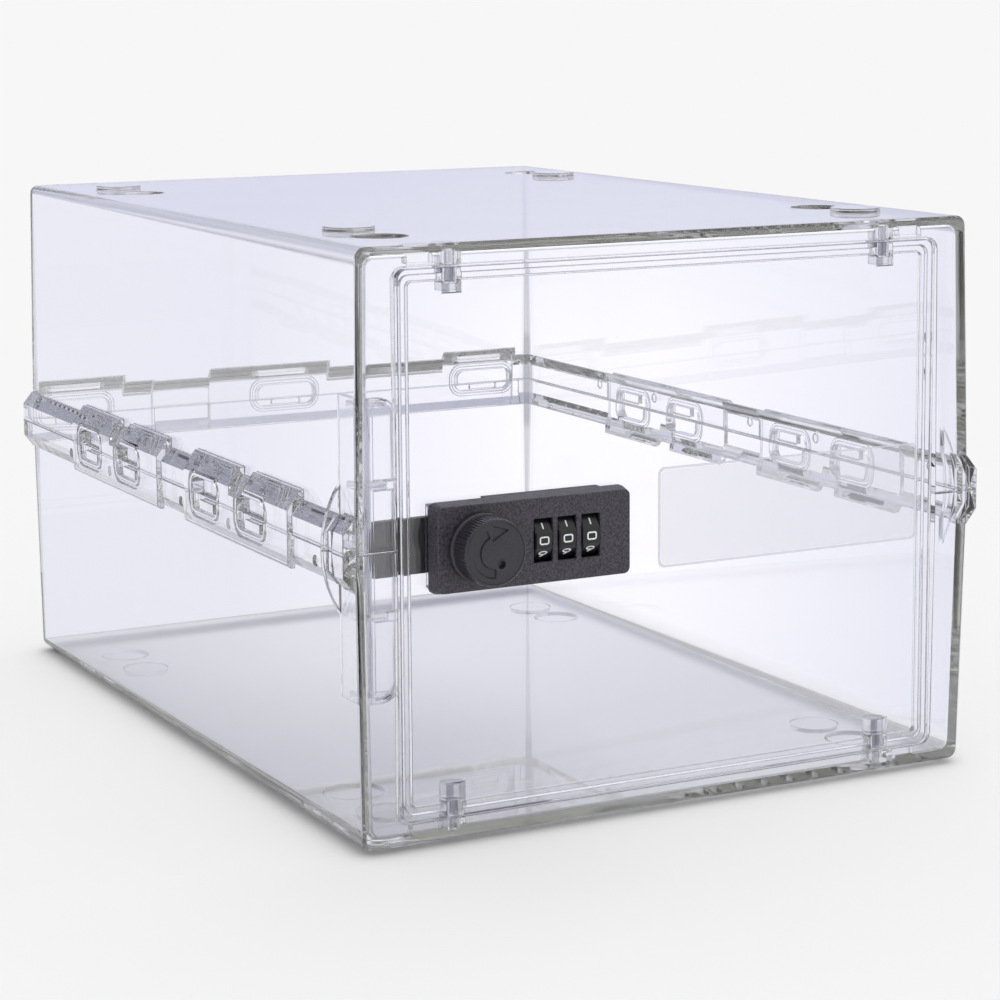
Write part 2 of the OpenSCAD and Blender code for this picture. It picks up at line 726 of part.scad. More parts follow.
module cam_screw() {
  color([0.6, 0.6, 0.62]) in_box() translate([knob_x, cam_back, 0]) rotate([-90, 0, 0]) {
    translate([0, 0, -5]) cylinder(r = 1.22, h = 5 + washer_t + 0.5);
    difference() {
      translate([0, 0, washer_t]) cylinder(r = 3, h = 1.8);
      translate([0, 0, washer_t + 1.9]) cube([1.6, 1.6, 2], center = true);
    }
  }
}

module dial(i) {
  color([0.08, 0.08, 0.09]) in_box() translate([dial_x[i] - dial_w / 2, dial_y, 0]) rotate([0, 90, 0]) difference() {
    cylinder(r = dial_r, h = dial_w, $fn = 80);
    translate([0, 0, -1]) cylinder(r = axle_d / 2 + axle_clear, h = dial_w + 2);
  }
}

// The code disc turns with its dial, and its gate faces the fence at the set code
module code_disc(i) {
  color([0.75, 0.68, 0.45]) in_box() translate([dial_x[i] + dial_w / 2, dial_y, 0]) difference() {
    rotate([0, 90, 0]) cylinder(d = code_d, h = code_w, $fn = 64);
    translate([-1, 0, 0]) rotate([0, 90, 0]) cylinder(r = axle_d / 2 + axle_clear, h = code_w + 2);
    translate([-1, -gate_w / 2, code_d / 2 - gate_depth]) cube([code_w + 2, gate_w, 4]);
  }
}

module dial_1() dial(0);
module dial_2() dial(1);
module dial_3() dial(2);
module code_disc_1() code_disc(0);
module code_disc_2() code_disc(1);
module code_disc_3() code_disc(2);

upper_shell();
lower_shell();
strike_bracket();
hinge_pin_upper();
hinge_pin_lower();
door_panel();
blank_pins();
lock_faceplate();
faceplate_gasket();
lock_housing();
housing_cover();
cover_screws();
lock_barrel();
barrel_washer();
barrel_nut();
dial_axle();
detent_spring();
locking_fence();
knob();
spindle();
cam();
cam_washer();
cam_screw();
dial_1();
dial_2();
dial_3();
code_disc_1();
code_disc_2();
code_disc_3();
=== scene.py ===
import math

import bmesh
import bpy
import numpy as np
from mathutils import Matrix


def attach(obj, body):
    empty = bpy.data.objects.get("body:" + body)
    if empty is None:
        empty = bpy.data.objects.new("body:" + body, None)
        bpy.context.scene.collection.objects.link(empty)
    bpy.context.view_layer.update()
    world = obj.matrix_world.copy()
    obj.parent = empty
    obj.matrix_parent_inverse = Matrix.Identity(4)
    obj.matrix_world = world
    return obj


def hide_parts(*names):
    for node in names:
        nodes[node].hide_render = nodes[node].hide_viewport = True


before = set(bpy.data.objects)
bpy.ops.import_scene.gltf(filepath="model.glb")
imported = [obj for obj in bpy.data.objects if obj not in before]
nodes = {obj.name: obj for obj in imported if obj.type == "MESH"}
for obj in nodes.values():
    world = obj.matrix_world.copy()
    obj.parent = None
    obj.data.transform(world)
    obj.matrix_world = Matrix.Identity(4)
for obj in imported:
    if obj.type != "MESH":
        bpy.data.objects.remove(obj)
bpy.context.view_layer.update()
scene = bpy.context.scene

MM = 0.001
# Places in mm: outer face of the door, joint of the shells, axes of knob and dials, depth of the dials' axle
FRONT_Y = -134.95
MID_Z = 83.9
KNOB_X = -66.0
DIAL_X = (-46.6, -39.15, -31.7)
DIAL_Y = 1.0
# Gap in mm by which each clear moulding is drawn smaller than its CAD piece
AIR = 0.015


def srgb(code):
    """Linear colour of an sRGB hex code."""
    out = []
    for i in (1, 3, 5):
        c = int(code[i : i + 2], 16) / 255
        out.append(c / 12.92 if c <= 0.04045 else ((c + 0.055) / 1.055) ** 2.4)
    return (*out, 1.0)


def add(tree, kind, inputs=None, **settings):
    """A new node, its settings, and its inputs as values or links."""
    node = tree.nodes.new(kind)
    for key, value in settings.items():
        setattr(node, key, value)
    for key, value in (inputs or {}).items():
        if isinstance(value, bpy.types.NodeSocket):
            tree.links.new(value, node.inputs[key])
        else:
            node.inputs[key].default_value = value
    return node


def new_material(name):
    material = bpy.data.materials.new(name)
    material.use_nodes = True
    tree = material.node_tree
    tree.nodes.clear()
    return material, tree


# Materials

STYRENE_IOR = 1.57
FLOW_PER_M = 22.0  # flow ripples of a moulded wall, about 45 mm apart
FLOW_DEPTH = 0.0004
LEVEL = (0.95, 0.98)  # largest part of a normal, from a slope to a pane
# Fades on the box in metres, from and to: clip belt, base wall, foot of the base, its sides and ends, and the
# part of the base that lets more light through to the paper
BELT_Z = (0.016, 0.02)
BASE_Z = (0.0045, 0.008)
FOOT_Z = (0.0025, 0.0045)
RIM_X = (0.090, 0.098)
RIM_Y = (0.126, 0.134)
PALE_X = (-0.1, 0.02)
PALE_Y = (-0.04, 0.07)


def clear_plastic(name, edge, density, corner, belt, roughness, ripple):
    """Moulded clear styrene. A pane is colourless and glossy with a faint flow ripple, and light that has
    run along inside it comes out of its edges olive grey. Lamps and light from the paper pass it unbent, save
    at the rounded rim of the base, which throws them aside and leaves a dark line on the floor. Rounded and
    sloping edges gather less light than the panes, so they carry a painted shade: the colour corner darkens
    them, and the colour belt darkens them more at the height of the clips."""
    material, tree = new_material(name)
    at = add(tree, "ShaderNodeTexCoord")
    flow = add(tree, "ShaderNodeTexNoise", {
        "Vector": at.outputs["Object"], "Scale": FLOW_PER_M, "Detail": 1.0,
    })
    bump = add(tree, "ShaderNodeBump", {
        "Height": flow.outputs["Fac"], "Strength": ripple, "Distance": FLOW_DEPTH,
    })
    normal = add(tree, "ShaderNodeVectorMath", {0: at.outputs["Normal"]}, operation="ABSOLUTE")
    parts = add(tree, "ShaderNodeSeparateXYZ", {0: normal.outputs["Vector"]})
    level = add(tree, "ShaderNodeMath", {
        0: parts.outputs["X"], 1: parts.outputs["Y"],
    }, operation="MAXIMUM")
    flat = add(tree, "ShaderNodeMath", {0: level.outputs[0], 1: parts.outputs["Z"]}, operation="MAXIMUM")
    face = add(tree, "ShaderNodeMapRange", {
        "Value": flat.outputs[0], 1: LEVEL[0], 2: LEVEL[1], 3: 0.0, 4: 1.0,
    })
    where = add(tree, "ShaderNodeSeparateXYZ", {0: at.outputs["Object"]})
    rise = add(tree, "ShaderNodeMath", {0: where.outputs["Z"], 1: MID_Z * MM}, operation="SUBTRACT")
    reach = add(tree, "ShaderNodeMath", {0: rise.outputs[0]}, operation="ABSOLUTE")
    clips = add(tree, "ShaderNodeMapRange", {
        "Value": reach.outputs[0], 1: BELT_Z[0], 2: BELT_Z[1], 3: 1.0, 4: 0.0,
    })
    # Painted shade: rounded and sloping edges are darkened by corner, and more by belt at the height of the
    # clips
    curved = add(tree, "ShaderNodeMix", {
        0: clips.outputs[0], 6: srgb(corner), 7: srgb(belt),
    }, data_type="RGBA")
    tint_and_edge_shade = add(tree, "ShaderNodeMix", {
        0: face.outputs[0], 6: curved.outputs[2], 7: srgb("#fdfdff"),
    }, data_type="RGBA")
    glass = add(tree, "ShaderNodeBsdfPrincipled", {
        "Base Color": tint_and_edge_shade.outputs[2], "Roughness": roughness, "IOR": STYRENE_IOR,
        "Transmission Weight": 1.0, "Normal": bump.outputs["Normal"],
    })
    facing = add(tree, "ShaderNodeLayerWeight", {"Blend": 0.35})
    shade = add(tree, "ShaderNodeMix", {
        0: facing.outputs["Facing"], 6: srgb("#ffffff"), 7: srgb("#f3f3f5"),
    }, data_type="RGBA")
    side = add(tree, "ShaderNodeMath", {0: where.outputs["X"]}, operation="ABSOLUTE")
    end = add(tree, "ShaderNodeMath", {0: where.outputs["Y"]}, operation="ABSOLUTE")
    by_side = add(tree, "ShaderNodeMapRange", {
        "Value": side.outputs[0], 1: RIM_X[0], 2: RIM_X[1], 3: 0.0, 4: 1.0,
    })
    by_end = add(tree, "ShaderNodeMapRange", {
        "Value": end.outputs[0], 1: RIM_Y[0], 2: RIM_Y[1], 3: 0.0, 4: 1.0,
    })
    outer = add(tree, "ShaderNodeMath", {
        0: by_side.outputs[0], 1: by_end.outputs[0],
    }, operation="MAXIMUM")
    low = add(tree, "ShaderNodeMapRange", {
        "Value": where.outputs["Z"], 1: BASE_Z[0], 2: BASE_Z[1], 3: 1.0, 4: 0.0,
    })
    foot = add(tree, "ShaderNodeMapRange", {
        "Value": where.outputs["Z"], 1: FOOT_Z[0], 2: FOOT_Z[1], 3: 1.0, 4: 0.0,
    })
    rim = add(tree, "ShaderNodeMath", {0: outer.outputs[0], 1: foot.outputs[0]}, operation="MULTIPLY")
    rightward = add(tree, "ShaderNodeMapRange", {
        "Value": where.outputs["X"], 1: PALE_X[0], 2: PALE_X[1], 3: 0.0, 4: 1.0,
    })
    near = add(tree, "ShaderNodeMix", {
        0: rightward.outputs[0], 6: srgb("#d4d4d7"), 7: srgb("#f3f3f3"),
    }, data_type="RGBA")
    rearward = add(tree, "ShaderNodeMapRange", {
        "Value": where.outputs["Y"], 1: PALE_Y[0], 2: PALE_Y[1], 3: 0.0, 4: 1.0,
    })
    pale = add(tree, "ShaderNodeMath", {
        0: rightward.outputs[0], 1: rearward.outputs[0],
    }, operation="MULTIPLY")
    base = add(tree, "ShaderNodeMix", {
        0: pale.outputs[0], 6: near.outputs[2], 7: srgb("#ffffff"),
    }, data_type="RGBA")
    based = add(tree, "ShaderNodeMix", {
        0: low.outputs[0], 6: shade.outputs[2], 7: base.outputs[2],
    }, data_type="RGBA")
    passed = add(tree, "ShaderNodeMix", {
        0: rim.outputs[0], 6: based.outputs[2], 7: srgb("#28282c"),
    }, data_type="RGBA")
    through = add(tree, "ShaderNodeBsdfTransparent", {"Color": passed.outputs[2]})
    path = add(tree, "ShaderNodeLightPath")
    scattered = add(tree, "ShaderNodeMixShader", {
        0: path.outputs["Is Diffuse Ray"], 1: glass.outputs[0], 2: through.outputs[0],
    })
    mix = add(tree, "ShaderNodeMixShader", {
        0: path.outputs["Is Shadow Ray"], 1: scattered.outputs[0], 2: through.outputs[0],
    })
    body = add(tree, "ShaderNodeVolumeAbsorption", {"Color": srgb(edge), "Density": density})
    add(tree, "ShaderNodeOutputMaterial", {"Surface": mix.outputs[0], "Volume": body.outputs[0]})
    return material


GRAIN_DEPTH = 0.00015


def opaque(name, colour, roughness, metallic=0.0, grain=0.0, grain_mm=0.3, fleck=0.25):
    """A solid finish. Its grain is a fine spark-eroded texture of the given size, which breaks up highlights
    and flecks the tone by the given share."""
    material, tree = new_material(name)
    at = add(tree, "ShaderNodeTexCoord")
    noise = add(tree, "ShaderNodeTexNoise", {
        "Vector": at.outputs["Object"], "Scale": 1 / (grain_mm * MM), "Detail": 2.0,
    })
    bump = add(tree, "ShaderNodeBump", {
        "Height": noise.outputs["Fac"], "Strength": grain, "Distance": GRAIN_DEPTH,
    })
    tone = add(tree, "ShaderNodeMapRange", {
        "Value": noise.outputs["Fac"], 1: 0.3, 2: 0.7, 3: 1 - fleck, 4: 1 + fleck,
    })
    base = add(tree, "ShaderNodeVectorMath", {
        0: srgb(colour)[:3], "Scale": tone.outputs[0],
    }, operation="SCALE")
    shader = add(tree, "ShaderNodeBsdfPrincipled", {
        "Base Color": base.outputs[0], "Roughness": roughness, "Metallic": metallic,
        "Normal": bump.outputs["Normal"],
    })
    add(tree, "ShaderNodeOutputMaterial", {"Surface": shader.outputs[0]})
    return material


def frosted(name, cover):
    """A finely etched patch of the door: it scatters a little of the light white and lets the rest straight
    through."""
    material, tree = new_material(name)
    haze = add(tree, "ShaderNodeBsdfPrincipled", {"Base Color": srgb("#e6e6ee"), "Roughness": 0.5})
    through = add(tree, "ShaderNodeBsdfTransparent", {"Color": srgb("#ffffff")})
    mix = add(tree, "ShaderNodeMixShader", {0: cover, 1: through.outputs[0], 2: haze.outputs[0]})
    add(tree, "ShaderNodeOutputMaterial", {"Surface": mix.outputs[0]})
    return material


# Injection moulded polystyrene: polished moulds give the shells and the door a glassy surface, the bracket's is
# a little softer, and the pins are matt, so that they blur what is behind them
# The last two colours of each call are painted shade on rounded and sloping edges; the door's are darkest, to
# draw its rims
shell_plastic = clear_plastic("clear styrene shell", "#b4b5a4", 4.4, "#cccdd0", "#aeafb4", 0.01, 0.05)
door_plastic = clear_plastic("clear styrene door", "#b4b5a4", 4.4, "#8c8c99", "#8c8c99", 0.01, 0.04)
fitting_plastic = clear_plastic("clear styrene fitting", "#c4c5cc", 6.0, "#c0c0c8", "#b0b0b8", 0.03, 0.08)
pin_plastic = clear_plastic("clear styrene pin, matt", "#c4c5cc", 6.0, "#f4f4f4", "#f4f4f4", 0.22, 0.08)
# Moulded nylon: the plate sparkles with a spark-eroded grain of about 0.2 mm, drawn at 0.6 mm so that it shows,
# the knob has a satin sheen, and the case behind the door is dull
plate_plastic = opaque("black nylon, spark textured", "#3b3841", 0.42, grain=0.9, grain_mm=0.6, fleck=0.75)
knob_plastic = opaque("black nylon, satin", "#2e2c33", 0.28, grain=0.2, grain_mm=0.35)
case_plastic = opaque("black nylon case", "#1c1c20", 0.5, grain=0.2)
# Acetal dials, smooth and dark, with printed numerals, and a dull rubber gasket
dial_plastic = opaque("black acetal", "#161518", 0.28, grain=0.05)
numeral_paint = opaque("white numeral paint", "#e8edf0", 0.5)
rubber = opaque("black rubber", "#131316", 0.7, grain=0.1)
# Metals: bright zinc plate, a coated cam with soft highlights, polished spring leaf, stamped brass
zinc = opaque("zinc plated steel", "#a3a4a8", 0.3, metallic=1.0, grain=0.05)
black_steel = opaque("black coated steel", "#2c2c31", 0.45, metallic=0.3, grain=0.1)
spring_steel = opaque("spring steel", "#8f8f8c", 0.25, metallic=1.0)
brass = opaque("stamped brass", "#b89a58", 0.35, metallic=1.0)
# Etched styrene: a faint haze, and a denser line round it
etched = frosted("etched panel", 0.22)
etched_line = frosted("etched border", 0.5)

FINISH = {
    "upper_shell": shell_plastic, "lower_shell": shell_plastic, "door_panel": door_plastic,
    "strike_bracket": fitting_plastic, "hinge_pin_upper": pin_plastic, "hinge_pin_lower": pin_plastic,
    "blank_pins": pin_plastic, "lock_faceplate": plate_plastic, "faceplate_gasket": rubber,
    "lock_housing": case_plastic, "housing_cover": case_plastic, "cover_screws": zinc, "lock_barrel": zinc,
    "barrel_washer": zinc, "barrel_nut": zinc, "dial_axle": zinc, "detent_spring": spring_steel,
    "locking_fence": zinc, "knob": knob_plastic, "spindle": zinc, "cam": black_steel, "cam_washer": zinc,
    "cam_screw": zinc, "dial_1": dial_plastic, "dial_2": dial_plastic, "dial_3": dial_plastic,
    "code_disc_1": brass, "code_disc_2": brass, "code_disc_3": brass,
}
for name, finish in FINISH.items():
    nodes[name].data.materials.clear()
    nodes[name].data.materials.append(finish)


# Shapes


def piece(name, points, faces, finish, smooth_angle=None):
    """An object from points in mm and faces, smooth between faces that meet at less than smooth_angle
    degrees."""
    mesh = bpy.data.meshes.new(name)
    mesh.from_pydata((np.asarray(points, float) * MM).tolist(), [], [tuple(f) for f in faces])
    mesh.validate()
    work = bmesh.new()
    work.from_mesh(mesh)
    bmesh.ops.remove_doubles(work, verts=work.verts, dist=1e-7)
    bmesh.ops.recalc_face_normals(work, faces=work.faces)
    work.to_mesh(mesh)
    work.free()
    if smooth_angle is not None:
        mesh.shade_smooth()
        mesh.set_sharp_from_angle(angle=math.radians(smooth_angle))
    mesh.materials.append(finish)
    thing = bpy.data.objects.new(name, mesh)
    scene.collection.objects.link(thing)
    return thing


MERGE = 2e-6
COPLANAR = math.radians(0.3)
SMOOTH = math.radians(30)
SHARP = math.radians(40)


def moulded(node, body, edge_mm):
    """A copy of a CAD moulding with its corners merged, its flat faces whole and its sharp edges rounded. It's
    smaller all round by AIR, since light passes between two clear mouldings only where there is air. Its
    normals are worked out anew, and the largest faces set them, so that a pane stays level up to its edge."""
    mesh = nodes[node].data.copy()
    mesh.name = node + "_moulded"
    for old in ("custom_normal", "sharp_face", "sharp_edge"):
        if old in mesh.attributes:
            mesh.attributes.remove(mesh.attributes[old])
    work = bmesh.new()
    work.from_mesh(mesh)
    bmesh.ops.remove_doubles(work, verts=work.verts, dist=MERGE)
    bmesh.ops.dissolve_limit(
        work, angle_limit=COPLANAR, verts=work.verts, edges=work.edges, use_dissolve_boundaries=False
    )
    work.normal_update()
    for v in work.verts:
        v.co -= v.normal * AIR * MM
    work.to_mesh(mesh)
    work.free()
    mesh.shade_smooth()
    mesh.set_sharp_from_angle(angle=SMOOTH)
    thing = bpy.data.objects.new(mesh.name, mesh)
    scene.collection.objects.link(thing)
    bevel = thing.modifiers.new("edge", "BEVEL")
    bevel.width = edge_mm * MM
    bevel.segments = 2
    bevel.limit_method = "ANGLE"
    bevel.angle_limit = SHARP
    bevel.use_clamp_overlap = False
    level = thing.modifiers.new("level", "WEIGHTED_NORMAL")
    level.mode = "FACE_AREA"
    level.weight = 100
    level.keep_sharp = True
    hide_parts(node)
    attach(thing, body)
    return thing


def grid_faces(rows, columns, closed):
    """Quads of a grid of points, closed round its columns or not."""
    r, c = np.meshgrid(np.arange(rows - 1), np.arange(columns if closed else columns - 1), indexing="ij")
    n = (c + 1) % columns
    quads = [r * columns + c, r * columns + n, (r + 1) * columns + n, (r + 1) * columns + c]
    return np.stack(quads, -1).reshape(-1, 4)


def step(x, edge, soft):
    """0 below edge, 1 above it, with a slope of the given width between."""
    return np.clip((x - edge) / soft + 0.5, 0, 1)


# Sizes of the knob in mm: its face, the ribs of its grip, and the marks sunk in its face
KNOB_FACE_Y = 14.5
KNOB_FACE_R = 8.4
GRIP_R = 9.4
RIBS = 64
RIB_DEPTH = 0.28
ARROW_DEPTH = 0.55
ARROW_INNER, ARROW_OUTER = 4.5, 6.9
ARROW_FROM, ARROW_TO = 112, 270
HOLE_DEPTH = 1.2
HOLE_AT = (1.7, -3.3)
DOME = 0.22


def knob_shape():
    """The knob as a turned surface (r, y) round its axis, with
    r = R - RIB_DEPTH (0.5 + 0.5 cos RIBS a)^2 on the grip, and a face 0.25 mm below its rim, sunk by
    ARROW_DEPTH inside a curved arrow, by HOLE_DEPTH inside a small hole with a raised lip, and domed by
    DOME (1 - (r / 4.4)^2) at its middle."""
    turns = RIBS * 10
    a = np.arange(turns) * 2 * math.pi / turns
    face_r = np.concatenate([np.linspace(0.01, KNOB_FACE_R, 74), [KNOB_FACE_R + 0.1]])
    profile = [(8.9, 14.36), (9.2, 14.1), (GRIP_R, 13.6)]
    grip = [(GRIP_R, y) for y in np.linspace(13.3, 7.8, 7)]
    collar = [(9.3, 7.5), (9.2, 7.1), (9.2, 6.9), (9.6, 6.6), (9.7, 6.4), (9.7, 5.3), (3.4, 5.3)]
    rows = []
    for r in face_r:
        x, z = r * np.cos(a), r * np.sin(a)
        angle = np.degrees(np.arctan2(z, x)) % 360
        band = step(r, ARROW_INNER, 0.25) * (1 - step(r, ARROW_OUTER, 0.25))
        swept = step(angle, ARROW_FROM, 3) * (1 - step(angle, ARROW_TO, 3))
        head_x = x + 0.9
        head_top, head_low = 7.3 - 0.27 * head_x, 3.3 + 0.57 * head_x
        head = step(head_x, 0, 0.25) * step(head_top - z, 0, 0.25) * step(z - head_low, 0, 0.25)
        from_hole = np.hypot(x - HOLE_AT[0], z - HOLE_AT[1])
        hole = 1 - step(from_hole, 1.0, 0.3)
        lip = step(from_hole, 1.15, 0.2) * (1 - step(from_hole, 1.5, 0.3))
        sunk = np.maximum(ARROW_DEPTH * np.maximum(band * swept, head), HOLE_DEPTH * hole)
        dome = DOME * np.clip(1 - (r / 4.4) ** 2, 0, 1)
        y = np.minimum(KNOB_FACE_Y - sunk - 0.25 + dome + 0.12 * lip, KNOB_FACE_Y)
        rows.append(np.stack([x, y, z], -1))
    rows.append(np.stack([8.6 * np.cos(a), np.full(turns, KNOB_FACE_Y), 8.6 * np.sin(a)], -1))
    for r, y in profile + grip + collar:
        cut = RIB_DEPTH if (r, y) in grip or (r, y) == profile[-1] else 0
        rr = r - cut * (0.5 + 0.5 * np.cos(RIBS * a)) ** 2
        rows.append(np.stack([rr * np.cos(a), np.full(turns, y), rr * np.sin(a)], -1))
    points = np.concatenate(rows)
    points[:, 0] += KNOB_X
    points[:, 1] = FRONT_Y - points[:, 1]
    points[:, 2] += MID_Z
    faces = grid_faces(len(rows), turns, True).tolist()
    faces.append(list(range(turns)))
    faces.append(list(range((len(rows) - 1) * turns, len(rows) * turns)))
    return points, faces


def arc(cx, cy, rx, ry, start, end, count=10):
    """Points (cx + rx cos t, cy + ry sin t) for t from start to end in degrees."""
    t = np.radians(np.linspace(start, end, count))
    return [(cx + rx * math.cos(v), cy + ry * math.sin(v)) for v in t]


def rounded_loop(w, h, r):
    """A rounded rectangle as a closed line: four quarter arcs of radius r about the corners' centres."""
    line = []
    for sx, sy, start in ((1, 1, 0), (-1, 1, 90), (-1, -1, 180), (1, -1, 270)):
        line += arc(sx * (w / 2 - r), sy * (h / 2 - r), r, r, start, start + 90, 6)
    return line + line[:1]


# Numerals as lines in a cell 2 W wide and 2 H high, in mm
W, H = 1.15, 0.95
NUMERALS = {
    0: [rounded_loop(2 * W + 0.3, 2 * H, 0.5)],
    1: [[(0, -H), (0, H)]],
    2: [arc(0, 0.35 * H, W, 0.65 * H, 170, -20) + [(-W, -H), (W, -H)]],
    3: [arc(0, 0.5 * H, W, 0.5 * H, 150, -80), arc(0, -0.5 * H, W, 0.5 * H, 80, -150)],
    4: [[(0.5 * W, -H), (0.5 * W, H), (-W, -0.3 * H), (W, -0.3 * H)]],
    5: [[(W, H), (-0.8 * W, H), (-0.8 * W, 0.15 * H)] + arc(0, -0.35 * H, W, 0.6 * H, 130, -150)],
    6: [[(0.6 * W, H), (-0.7 * W, 0.1 * H)] + arc(0, -0.4 * H, W, 0.6 * H, 160, 520, 20)],
    7: [[(-W, H), (W, H), (-0.3 * W, -H)]],
    8: [arc(0, 0.5 * H, 0.85 * W, 0.48 * H, 0, 360, 20), arc(0, -0.48 * H, W, 0.5 * H, 0, 360, 20)],
    9: [[(-0.6 * W, -H), (0.7 * W, -0.1 * H)] + arc(0, 0.4 * H, W, 0.6 * H, -20, 340, 20)],
}
PEN = 0.42
PAINT = 0.03


def stroke(line, width):
    """The two edges of a line drawn with a pen of the given width, mitred at its bends: the line plus and
    minus its mean normal times width / 2 over the cosine of half the bend, for bends up to 120 degrees."""
    p = np.array(line, float)
    closed = np.allclose(p[0], p[-1])
    t = np.diff(p, axis=0)
    t /= np.linalg.norm(t, axis=1)[:, None]
    before = np.vstack([t[-1:] if closed else t[:1], t])
    after = np.vstack([t, t[:1] if closed else t[-1:]])
    mean = before + after
    mean /= np.linalg.norm(mean, axis=1)[:, None]
    normal = np.stack([-mean[:, 1], mean[:, 0]], 1)
    reach = width / 2 / np.clip((mean * after).sum(1), 0.5, 1)
    return p + normal * reach[:, None], p - normal * reach[:, None]


# Sizes of a dial in mm: corners and ends, bore, chamfer, and its share of the CAD dial's size
DIAL_R = 7.0
DIAL_W = 5.4
DIAL_BORE_R = 1.58
DIAL_CHAMFER = 0.3
DIAL_SHARE = 0.995


def dial_shapes():
    """One dial: ten flats with r = R cos 18 / cos b for b within 18 degrees of each flat's middle, ends
    chamfered by DIAL_CHAMFER, and its numerals PAINT proud of the flats. Number 0 faces the front at rest."""
    per_flat = 8
    a = np.arange(10 * per_flat) * 2 * math.pi / (10 * per_flat)
    b = (a + math.pi / 10) % (math.pi / 5) - math.pi / 10
    middle = DIAL_R * DIAL_SHARE * math.cos(math.pi / 10)
    flat = middle / np.cos(b)
    rows = []
    for x, r in (
        (-DIAL_W / 2, np.full_like(a, DIAL_BORE_R)), (-DIAL_W / 2, flat - DIAL_CHAMFER),
        (-DIAL_W / 2 + DIAL_CHAMFER, flat), (DIAL_W / 2 - DIAL_CHAMFER, flat),
        (DIAL_W / 2, flat - DIAL_CHAMFER), (DIAL_W / 2, np.full_like(a, DIAL_BORE_R)),
    ):
        rows.append(np.stack([np.full_like(a, x), -r * np.cos(a), r * np.sin(a)], -1))
    faces = grid_faces(len(rows), len(a), True)
    numerals, cells, count = [], [], 0
    out = middle + PAINT
    for number, lines in NUMERALS.items():
        turn = number * math.pi / 5
        for line in lines:
            left, right = stroke(line, PEN)
            both = np.concatenate([left, right])
            up = both[:, 1]
            y = -(out * math.cos(turn) - up * math.sin(turn))
            z = out * math.sin(turn) + up * math.cos(turn)
            numerals.append(np.stack([both[:, 0], y, z], -1))
            n = len(left)
            cells += [(count + i, count + i + 1, count + n + i + 1, count + n + i) for i in range(n - 1)]
            count += 2 * n
    return np.concatenate(rows), faces, np.concatenate(numerals), cells


def plate(name, outline, y0, y1, finish, hole=None):
    """A thin plate in the plane of the door from its outline in x, z, with a hole of as many corners or
    none."""
    n = len(outline)
    rings = [outline] if hole is None else [outline, hole]
    points, faces = [], []
    for y in (y0, y1):
        for ring in rings:
            points += [(x, FRONT_Y + y, MID_Z + z) for x, z in ring]
    if hole is None:
        faces += [list(range(n)), list(range(n, 2 * n))]
        faces += [(i, (i + 1) % n, n + (i + 1) % n, n + i) for i in range(n)]
    else:
        for i in range(n):
            j = (i + 1) % n
            faces += [(i, j, n + j, n + i), (2 * n + i, 2 * n + j, 3 * n + j, 3 * n + i)]
            faces += [(i, j, 2 * n + j, 2 * n + i), (n + i, n + j, 3 * n + j, 3 * n + i)]
    return piece(name, points, faces, finish)


# The object

FINE, SOFT = 0.25, 0.4  # rounding of moulded edges in mm
moulded("upper_shell", "box", FINE)
moulded("lower_shell", "box", FINE)
moulded("door_panel", "door", FINE)
moulded("strike_bracket", "box", SOFT)
moulded("lock_faceplate", "door", FINE)

knob = piece("knob_grip", *knob_shape(), knob_plastic, 35)
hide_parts("knob")
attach(knob, "knob_and_cam")

dial_points, dial_faces, numeral_points, numeral_faces = dial_shapes()
for i, x in enumerate(DIAL_X):
    shift = np.array([x, FRONT_Y + DIAL_Y, MID_Z])
    dial = piece(f"dial_{i + 1}_body", dial_points + shift, dial_faces, dial_plastic, 20)
    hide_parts(f"dial_{i + 1}")
    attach(dial, f"dial_unit_{i + 1}")
    numerals = piece(f"dial_{i + 1}_numerals", numeral_points + shift, numeral_faces, numeral_paint)
    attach(numerals, f"dial_unit_{i + 1}")

# The etched panel lies on the back of the door, in mm from the door's face, and its border is a little thicker
PANEL_CENTRE = np.array([38.5, 1.2])
PANEL_SIZE = (89, 29, 2)
PANEL_FROM, PANEL_TO, BORDER_TO = 3.12, 3.16, 3.17
outline = np.array(rounded_loop(*PANEL_SIZE)[:-1])
panel_edge = outline * [0.978, 0.94] + PANEL_CENTRE
border_hole = outline * [0.982, 0.95] + PANEL_CENTRE
panel = plate("etched_panel", panel_edge, PANEL_FROM, PANEL_TO, etched)
border = plate("etched_border", outline + PANEL_CENTRE, PANEL_FROM, BORDER_TO, etched_line, border_hole)
for thing in (panel, border):
    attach(thing, "door")

# The studio

# The sun's strength and tilt, and an even sky that brings the light on a level white sheet up to 1
SUN = 0.45
SUN_TILT = math.radians(38)
SKY = 1.0 - SUN * math.cos(SUN_TILT) / math.pi
FLOOR_REACH = 4e4  # mm
# The painted pool of light on the paper beyond the box is a wedge: two floor directions, how far in front of
# the box its sides meet in metres, the slope of its middle line, and where it fades across and along
PATCH_ACROSS = (0.888, -0.46, 0)
PATCH_ALONG = (0.46, 0.888, 0)
PATCH_APEX = 0.923
PATCH_MIDDLE = 0.045
PATCH_SIDE = (0.02, 0.13)
PATCH_FAR = (0.9, 2.6)
# Where the floor counts as beyond the box: behind its back and to its right
BEYOND_Y = (0.143, 0.16)
BEYOND_X = (0.105, 0.122)


